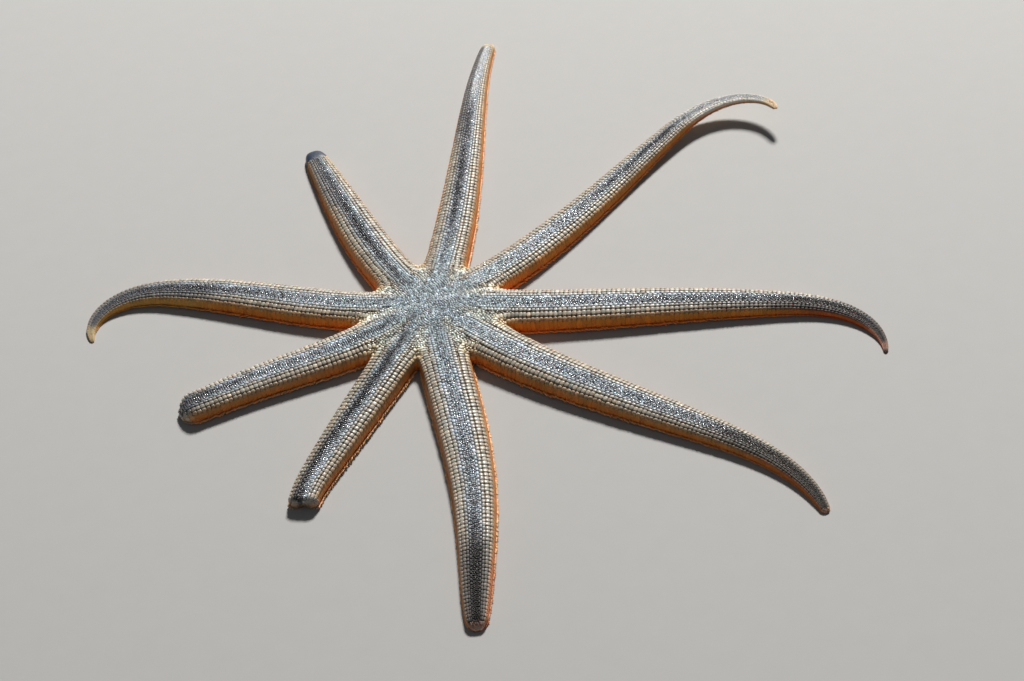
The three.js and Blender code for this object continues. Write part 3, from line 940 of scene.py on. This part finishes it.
def fork_row(k, w, share=1.0):
    """One row round the fork between arm k and the next: along both arms at the section share w,
    and between them round the web on the field's level for that share. The turn starts as a
    quadratic curve through the level's place on the bisector, is settled on the level, and is cut
    into even steps."""
    pair = (LINES[k], LINES[(k + 1) % COUNT])
    ahead = [np.array([np.cos(line.heading[NEAR_ROOT]), np.sin(line.heading[NEAR_ROOT])]) for line in pair]
    bisector = unit(ahead[0] + ahead[1])
    radii = np.linspace(2 * MM, 20 * MM, 181)
    level = field(centre + radii[:, None] * bisector).level
    notch = np.interp(section_at(w)[0], level, radii)
    ends, corner = [], centre + notch * bisector
    for arm, sign in ((k, -1), ((k + 1) % COUNT, 1)):
        s = paces(arm, notch + 1.6 * MM, LINES[arm].reach - BARE[arm], share)
        ends.append(standing(arm, s, np.full(len(s), sign * w)))
    start, stop = ends[0].point[0, :2], ends[1].point[0, :2]
    t = np.linspace(0, 1, 41)[:, None]
    curve = (1 - t) ** 2 * start + 2 * t * (1 - t) * (2 * corner - (start + stop) / 2) + t ** 2 * stop
    curve[1:-1] = settle(curve[1:-1], np.full(39, w), np.ones(39)).point[:, :2]
    run = np.concatenate([[0], np.cumsum(np.linalg.norm(np.diff(curve, axis=0), axis=1))])
    cuts = max(int(round(run[-1] / (share * pitch_at(k, ends[0].s[0])))), 2)
    place = np.linspace(0, run[-1], cuts + 1)[1:-1]
    xy = np.column_stack([np.interp(place, run, curve[:, i]) for i in (0, 1)])
    later = place > run[-1] / 2
    turn = settle(xy, np.full(len(xy), w), np.where(later, 1.0, -1.0))
    turn.arm = np.where(later, (k + 1) % COUNT, k)
    turn.s = np.interp(np.abs(place / run[-1] - 0.5), [0, 0.5], [notch, ends[0].s[0]])
    turn.q = np.where(later, w, -w)
    return joined([ends[0], turn, ends[1]])


def bake_place(at):
    """Each root's place on the unwrapped back, 0 to 1: out from the middle along the arm, to
    either side where a row lies on two arms, and up by the share of the section."""
    signed = np.where(at.arm == at.arm.min(), -1, 1) if len(np.unique(at.arm)) > 1 else 1
    return np.column_stack([0.5 + 0.48 * signed * at.s / (90 * MM), 0.02 + 0.96 * np.abs(at.q)])


def lively(tint, rng, spread=0.13):
    """Each plate's own shade, lighter or darker, and a little bluer or warmer."""
    light = np.exp(spread * rng.normal(0, 1, len(tint)))[:, None]
    warm = 1 + 0.04 * rng.normal(0, 1, (len(tint), 1)) * np.array([1, 0, -1])
    return light * warm


def plated(at, shape, finish, fill, wide, rng, proud=1.0, shade=(0.30, 0.78, 1.08), loose=0.05, spread=0.13,
           share=1.0, lean=0.06):
    """A set of like shapes at given places: fill is their length as a share of the spacing along
    the arm and wide their width as a share of the half section. Each stands on the skin, a
    little out of size, place, upright and shade at random. shade scales the colour at the foot,
    middle and top: painted shade at the foot, eased towards an arm's smooth end."""
    n = len(at.s)
    half, pitch, depth, reach = (np.zeros(n) for _ in range(4))
    for k in np.unique(at.arm):
        mine = at.arm == k
        half[mine] = np.interp(at.s[mine], LINES[k].s, LINES[k].half)
        pitch[mine] = pitch_at(k, at.s[mine])
        depth[mine] = coat_depth(k, at.s[mine], np.abs(at.q[mine]))
    wobble = rng.normal(0, 1, (n, 5))
    length = fill / 2 * pitch * share * (1 + 0.05 * wobble[:, 0])
    width = wide / 2 * arc * half * (1 + 0.05 * wobble[:, 1]) * (1 - 0.4 * step(0.6, 0.5, at.fork))
    spin = 0.07 * wobble[:, 2:3]
    out = unit(at.out + lean * (at.along * rng.normal(0, 1, (n, 1)) + at.across * rng.normal(0, 1, (n, 1))))
    along = at.along * np.cos(spin) + at.across * np.sin(spin)
    along = unit(along - out * (along * out).sum(1, keepdims=True))
    r = from_centre(at.point)
    nearer, farther = (livery(at.arm, at.s, np.sign(at.q) * np.clip(np.abs(at.q) + dq, 0, 1), r, at.fork)
                       for dq in (-0.4 * wide, 0.4 * wide))
    smooth = smoothed(at.arm, at.s)
    alive = lively(nearer, rng, spread * (1 - 0.6 * smooth))
    dark = 1 - step(0.10, 0.14, nearer.mean(1))
    # Painted shade at the foot, lifted towards an arm's smooth end.
    shades = np.array(shade) + (1 - np.array(shade)) * 0.55 * smooth[:, None]
    return SimpleNamespace(
        shape=shape, finish=finish,
        root=at.point - at.out * depth[:, None]
        + loose * (wobble[:, 3:4] * at.along * length[:, None] + wobble[:, 4:5] * at.across * width[:, None]),
        along=along, across=np.cross(out, along), out=out,
        length=length, width=width, height=depth * proud * (1 + 0.04 * wobble[:, 0]),
        sign=np.sign(at.q), tint=nearer * alive, tint_outer=farther * alive, shade=shades,
        wet=(1 - MATTE[at.arm] * np.sqrt(smooth)) * (1 - 0.5 * dark),
        map=bake_place(at),
    )


square_knob = knob([(0.98, -0.3), (1.0, 0.55), (0.90, 0.86), (0.56, 1.0)], 10, square=4, top=0.03)
bead = knob([(0.96, -0.3), (1.0, 0.50), (0.88, 0.84), (0.54, 1.0)], 10, square=3, top=0.04)
rib = knob([(1.0, -0.4), (1.0, 0.70), (0.76, 0.94), (0.40, 1.0)], 10, square=6, top=0.01)
blade = knob([(0.8, -0.1), (1.0, 0.3), (0.85, 0.7), (0.4, 0.95)], 6, top=0.05)


def grained(name, grain, light, depth):
    """A finish whose colour, the tint, darkens between fine grains, which stand up in the bump:
    painted shade between the grains, whose middles are lighter than the tint.
    """
    finish = Finish(name)
    grains = finish.grains(grain)
    finish.set(Base_Color=finish.times(finish.attribute("tint"), finish.grey(light - 0.4 * grains)))
    finish.bump(1 - grains, depth)
    return finish


plate_finish = grained("back_plates", 0.00014, 1.14, 0.00003)
plate_finish.set(
    Roughness=0.58 + 0.16 * plate_finish.noise(0.0004) - 0.32 * plate_finish.attribute("tint", "Alpha"),
    Subsurface_Weight=0.1,
    Subsurface_Scale=0.0006,
    Specular_IOR_Level=0.5,
    Coat_Weight=0.95 * plate_finish.attribute("tint", "Alpha"),
    Coat_Roughness=0.1,
    Coat_IOR=1.7,
)

row_finish = grained("row_plates", 0.00014, 1.14, 0.00003)
row_finish.set(
    Roughness=0.60 + 0.16 * row_finish.noise(0.0004) - 0.18 * row_finish.attribute("tint", "Alpha"),
    Subsurface_Weight=0.1,
    Subsurface_Scale=0.0004,
    Coat_Weight=0.25 * row_finish.attribute("tint", "Alpha"),
    Coat_Roughness=0.2,
)

side_finish = grained("side_plates", 0.00017, 1.12, 0.00004)
side_finish.set(Roughness=0.42 + 0.2 * side_finish.noise(0.0004), Specular_IOR_Level=0.3)

spine_finish = Finish("spines")
spine_finish.set(
    Base_Color=spine_finish.times(spine_finish.attribute("tint"),
                                  spine_finish.grey(0.85 + 0.3 * spine_finish.noise(0.0005))),
    Roughness=0.3 + 0.2 * spine_finish.noise(0.0004),
    Subsurface_Weight=0.1,
    Subsurface_Scale=0.0004,
)
spine_finish.bump(spine_finish.noise(0.0002), 0.00002)


def fringe(k, rng):
    """Flat blades laid like shingles along the foot of the side, leaning outwards and towards the
    arm's end."""
    at = fork_row(k, 0.905, 0.32)
    n = len(at.s)
    half = np.choose(at.arm, [np.interp(at.s, line.s, line.half) for line in LINES])
    scale = np.clip(half / FULL_HALF, 0.1, 1) ** 0.7
    outward = at.out * [1, 1, 0]
    tilt = rng.normal(0, 1, (n, 2))
    forward_lean = at.along * (1.1 + 0.2 * tilt[:, :1])
    lean = unit(outward + forward_lean + np.array([0, 0, 1]) * (0.02 + 0.10 * tilt[:, 1:]))
    across = unit(np.cross(np.array([0, 0, 1]), lean))
    alive = lively(np.zeros((n, 3)), rng, 0.12)
    root = at.point - outward * (0.42 * MM * scale)[:, None]
    lift = np.choose(at.arm, [np.interp(at.s, line.s, line.z) for line in LINES])
    root[:, 2] = lift + (0.58 * MM + 0.06 * MM * tilt[:, 0]) * scale
    r = from_centre(at.point)
    tint = livery(at.arm, at.s, np.sign(at.q) * 0.97, r, at.fork) * alive
    return SimpleNamespace(
        shape=blade, finish=spine_finish, root=root, along=across, across=np.cross(lean, across), out=lean,
        length=0.17 * MM * scale, width=0.15 * MM * scale,
        height=0.72 * MM * scale * np.exp(0.12 * rng.normal(0, 1, n)),
        # shade here is painted shade at the blades' foot.
        sign=np.sign(at.q), tint=tint, tint_outer=tint, shade=np.tile([0.62, 0.97, 1.05], (n, 1)),
        wet=np.ones(n),
        map=bake_place(at),
    )


taken = []
for k in range(COUNT):
    rng = np.random.default_rng(100 + k)
    rows = [flank_row(k, 0.188, 8.6 * MM, 0.5), flank_row(k, 0.292, 9.4 * MM),
            fork_row(k, 0.435), fork_row(k, 0.588)]
    taken += [row.point[from_centre(row.point) < NEAR] for row in rows]
    # The shade numbers give painted shade at each plate's foot, middle and top.
    scatter(f"flank_{k + 1}", [
        plated(rows[0], bead, row_finish, 1.0, 0.094, rng, 0.97, shade=(0.42, 0.74, 0.90), spread=0.26),
        plated(rows[1], square_knob, row_finish, 1.05, 0.114, rng, shade=(0.42, 0.73, 0.87), spread=0.18),
        plated(rows[2], square_knob, row_finish, 1.07, 0.158, rng, 1.02, shade=(0.62, 0.88, 1.02)),
        plated(rows[3], bead, row_finish, 1.06, 0.134, rng, 1.02, shade=(0.8, 0.95, 1.03)),
        plated(fork_row(k, 0.765), rib, side_finish, 1.2, 0.25, rng, 0.5, shade=(0.9, 0.95, 1.0), loose=0.0,
               spread=0.07, lean=0.01),
        fringe(k, rng),
    ], [row_finish, side_finish, spine_finish])


# ---- Crown plates ----
# Along the middle of each back the plates are finer and crowd together, with no order on most
# arms and in cross rows on the two stumps.
grain_knob = knob([(0.92, -0.3), (1.0, 0.55), (0.74, 0.94)], 8, square=2.2, top=0.04)
CORE = 7.2 * MM     # the middle of the disc, which the crowns leave free
GRAIN = 0.41 * MM   # spacing of the fine plates there
# How orderly each arm's crown is: 0 is crowded at random, 1 is in straight cross rows.
ORDER = [0.3, 0.3, 0.2, 0.2, 0.5, 0.95, 0.8, 0.3, 0.4]


def grain_share(k, s):
    """How many fine plates go to one row plate along the arm, as a share of its spacing."""
    pitch = pitch_at(k, s)
    return np.maximum(0.5, GRAIN / pitch * np.clip(pitch / (0.9 * MM), 0, 1) ** 0.3)


for k in range(COUNT):
    rng = np.random.default_rng(200 + k)
    line = LINES[k]
    columns = np.linspace(-0.122, 0.122, 5)
    fine = paces(k, 5 * MM, line.reach - BARE[k], grain_share(k, line.s))
    stagger = (1 - ORDER[k]) * 0.5 * (np.arange(5) % 2) * np.gradient(fine)[:, None]
    s = (fine[:, None] + stagger).ravel()
    q = np.tile(columns, len(fine))
    astray = (1 - ORDER[k]) * 0.13 * pitch_at(k, s) * rng.normal(0, 1, len(s))
    s = np.clip(s + astray, 0, line.reach - 0.1 * MM)
    q = q + (1 - 0.5 * ORDER[k]) * 0.010 * rng.normal(0, 1, len(q))
    xy = back_point(line, s, q)[:, :2]
    r = from_centre(xy)
    own = nearest(line, xy, NEAR)[2]
    others = np.min([nearest(other, xy, NEAR)[2] for other in LINES if other is not line], axis=0)
    free = (r > CORE) & ((s > NEAR) | (others - own > 0.25 * MM))
    s, q = s[free], q[free]
    at = standing(k, s, q, turning=False)
    taken.append(at.point[s < NEAR])
    scatter(f"crown_{k + 1}", [
        plated(at, grain_knob, plate_finish, 0.98, 0.068, rng, 0.95, spread=0.36, loose=0.08,
               share=grain_share(k, s), lean=0.24),
    ], [plate_finish])


# ---- Disc plates ----
# The middle of the disc has no rows: fine plates crowd there in a spiral. Round it, plates lie in
# rings that fill the room between the crowns and the rows, wider towards the forks.
rng = np.random.default_rng(90)
n = np.arange(1, int(np.pi * (CORE / GRAIN) ** 2) + 6)
spiral_r = GRAIN / np.sqrt(np.pi) * np.sqrt(n)
spiral_turn = n * np.pi * (3 - np.sqrt(5))
ring_r = [CORE + 0.25 * MM]
while ring_r[-1] < 15 * MM:
    ring_r.append(ring_r[-1] + np.interp(ring_r[-1], [7 * MM, 11 * MM], [0.42 * MM, 0.46 * MM]))
ring_gap = np.gradient(ring_r)
ring_count = np.round(2 * np.pi * np.array(ring_r) / (1.06 * ring_gap)).astype(int)
ring_of = np.repeat(np.arange(len(ring_r)), ring_count)
ring_start = np.concatenate([[0], np.cumsum(ring_count)[:-1]])
ring_place = np.arange(len(ring_of)) - np.repeat(ring_start, ring_count)
ring_turn = 2 * np.pi * (ring_place / ring_count[ring_of] + rng.uniform(0, 1, len(ring_r))[ring_of])
r = np.concatenate([spiral_r, np.array(ring_r)[ring_of]])
turn = np.concatenate([spiral_turn, ring_turn])
size = np.concatenate([np.full(len(n), GRAIN), ring_gap[ring_of]])
r = r + 0.10 * size * rng.normal(0, 1, len(r))
turn = turn + 0.10 * size / r * rng.normal(0, 1, len(r))
xy = centre + np.column_stack([r * np.cos(turn), r * np.sin(turn)])
found = [nearest(line, xy, NEAR) for line in LINES]
own = np.stack([gap / np.interp(s, line.s, line.half) for (s, _, gap), line in zip(found, LINES)]).argmin(0)
left = np.choose(own, [f[1] for f in found])
others = np.concatenate(taken)[:, :2]
clear = np.sqrt(((xy[:, None] - others) ** 2).sum(2).min(1))
keep = (r < CORE) | ((clear > 0.82 * size) & (field(xy).level < section_at(0.66)[0]))
xy, r, turn, size, own, left = (a[keep] for a in (xy, r, turn, size, own, left))
at = settle(xy, None, np.ones(len(xy)), 1)
inner = np.clip(1 - r / (3 * MM), 0, 1)[:, None]
at.out = unit(at.out * (1 - inner) + np.array([0, 0, 1]) * inner)
radial = np.column_stack([np.cos(turn), np.sin(turn), np.zeros(len(r))])
at.along = unit(np.cross(at.out, radial))
at.across = np.cross(at.out, at.along)
at.arm, at.s, at.q = own, r, np.sign(left) * np.maximum(at.w, 1e-3)
disc = plated(at, grain_knob, plate_finish, 1, 0.066, rng, 1.0, spread=0.38, lean=0.24)
disc.length = 0.50 * size * np.exp(0.07 * rng.normal(0, 1, len(r)))
disc.width = 0.50 * size * np.exp(0.07 * rng.normal(0, 1, len(r)))
disc.map = 0.5 + 0.47 * (xy - centre) / (15.5 * MM)
scatter("disc_plates", [disc], [plate_finish])


# ---- Underside ----
# Beneath, each arm has flat bars of plates across the sole with small spines on them, a comb of
# spines that closes over the furrow from both sides, and two rows of pointed tube feet in it.
# Nine fans of spines stand round the mouth. All of it clears the ground.
bar = knob([(0.96, -0.4), (1.0, 0.5), (0.8, 0.94)], 12, square=4, top=0.04)
spine = knob([(0.9, -0.1), (0.8, 0.5)], 5, top=0.5)
foot = knob([(0.9, -0.05), (0.8, 0.5), (0.35, 0.9)], 5)
BAR_TINT = linear(224, 190, 148)
SPINE_TINT = linear(236, 206, 166)
FOOT_TINT = linear(226, 176, 112)


def hanging(shape, flat, heading, side, lean, size, tint, spot, rng, loose=0.12):
    """Like shapes under the sole at the given points. lean says how far each points along the
    arm, away from the furrow and down, and size its half length, half width and height."""
    n = len(flat)
    ahead = np.column_stack([np.cos(heading), np.sin(heading), np.zeros(n)])
    outward = np.column_stack([-np.sin(heading), np.cos(heading), np.zeros(n)]) * side[:, None]
    lean = np.array(lean) + loose * rng.normal(0, 1, (n, 3)) * [1, 1, 0.1]
    out = unit(ahead * lean[:, :1] + outward * lean[:, 1:2] - np.array([0, 0, 1]) * lean[:, 2:])
    along = unit(ahead - out * (ahead * out).sum(1, keepdims=True))
    length, width, height = (np.broadcast_to(v, n) for v in size)
    tint = tint * lively(out, rng, 0.1)
    return SimpleNamespace(
        shape=shape, finish=spine_finish, root=flat, along=along, across=np.cross(out, along), out=out,
        length=length, width=width, height=height, sign=side, tint=tint, tint_outer=tint,
        # shade here is painted shade at each shape's foot.
        shade=np.tile([0.75, 0.95, 1.0], (n, 1)), wet=np.ones(n), map=spot,
    )


def under_arm(k, s, side, shape, lean, size, tint, rng, loose=0.12, stand=0.0):
    """Like shapes under arm k at distances along it and to the left of its line. Their size, in
    metres on the arm's full width, shrinks with it, and stand is the share of the sole's height
    above the ground that they start below the skin."""
    line = LINES[k]
    x, y, z, heading, half = along_line(line, s, "x", "y", "z", "heading", "half")
    xy = np.column_stack(beside(x, y, heading, side))
    thin = np.where(s < ROOT_END - 2 * MM, 1, thinned(half))
    z = z + (1 - stand) * SOLE * thin + furrow_at(half, side, from_centre(xy))
    way = np.sign(side)
    spot = np.column_stack([0.5 + 0.48 * way * s / (92 * MM), 0.02 + 0.96 * np.abs(side) / (5.4 * MM)])
    scale = np.clip(half / FULL_HALF, 0.03, 1)
    flat = np.column_stack([xy, z])
    return hanging(shape, flat, heading, way, lean, [v * scale for v in size], tint, spot, rng, loose)


root_bearing = np.unwrap([line.heading[NEAR_ROOT] for line in LINES])
for k, line in enumerate(LINES):
    rng = np.random.default_rng(300 + k)
    apart = np.maximum(1, 0.8 * MM / pitch_at(k, line.s))
    stations = paces(k, 4.6 * MM, line.reach - BARE[k] - 0.6 * MM, apart)
    groups = []
    for way, neighbour in ((1, k - 1), (-1, k + 1)):
        corner = np.abs(root_bearing[k] - root_bearing[neighbour % COUNT])
        corner = np.minimum(corner, 2 * np.pi - corner)
        half = np.interp(stations, line.s, line.half)
        inner = 0.36 * half
        outer = np.minimum(0.80 * half, stations * np.tan(corner / 2) - 0.25 * MM)
        broad = outer - inner > 0.25 * MM
        s, half, inner, outer = (a[broad] for a in (stations, half, inner, outer))
        scale = np.clip(half / FULL_HALF, 0.03, 1)
        pitch = np.maximum(pitch_at(k, s), 0.8 * MM) / scale
        groups.append(under_arm(k, s, way * (inner + outer) / 2, bar, (0, 0, 1),
                                (0.43 * pitch, (outer - inner) / 2 / scale, 0.65 * SOLE), BAR_TINT, rng, 0))
        for share in (0.15, 0.5, 0.85):
            groups.append(under_arm(k, s, way * (inner + share * (outer - inner)), spine, (0.5, 1, 0.2),
                                    (0.08 * MM, 0.08 * MM, 0.45 * MM), SPINE_TINT, rng, stand=0.4))
        half = np.interp(stations, line.s, line.half)
        for turn, share in ((0.5, 0.30), (-0.3, 0.34)):
            groups.append(under_arm(k, stations, way * share * half, spine, (turn, -0.8, 0.24),
                                    (0.10 * MM, 0.10 * MM, 0.62 * MM), SPINE_TINT, rng))
        groups.append(under_arm(k, stations, way * 0.12 * half, foot, (0, 0.3, 1),
                                (0.19 * MM, 0.19 * MM, 0.90 * MM), FOOT_TINT, rng))
    scatter(f"sole_{k + 1}", groups, [spine_finish])

rng = np.random.default_rng(400)
once_round = 2 * np.pi * np.sign(root_bearing[-1] - root_bearing[0])
jaws = root_bearing - np.diff(root_bearing, prepend=root_bearing[-1] - once_round) / 2
fan = np.repeat(np.linspace(-0.9, 0.9, 6)[None], COUNT, 0).ravel()
heading = np.repeat(jaws, 6)
jaw_r = 3.9 * MM - 0.25 * MM * np.abs(fan)
jaw_turn = heading + 0.075 * fan
flat = np.column_stack([centre[0] + jaw_r * np.cos(jaw_turn), centre[1] + jaw_r * np.sin(jaw_turn),
                        np.full(len(fan), 0.30 * MM)])
lean = np.column_stack([-np.ones(len(fan)), 0.5 * fan, np.full(len(fan), 0.16)])
spot = 0.5 + 0.45 * (flat[:, :2] - centre) / (5 * MM)
mouth_spines = hanging(spine, flat, heading, np.ones(len(fan)), lean, (0.12 * MM, 0.12 * MM, 1.0 * MM),
                       SPINE_TINT, spot, rng, 0.05)
scatter("mouth_spines", [mouth_spines], [spine_finish])
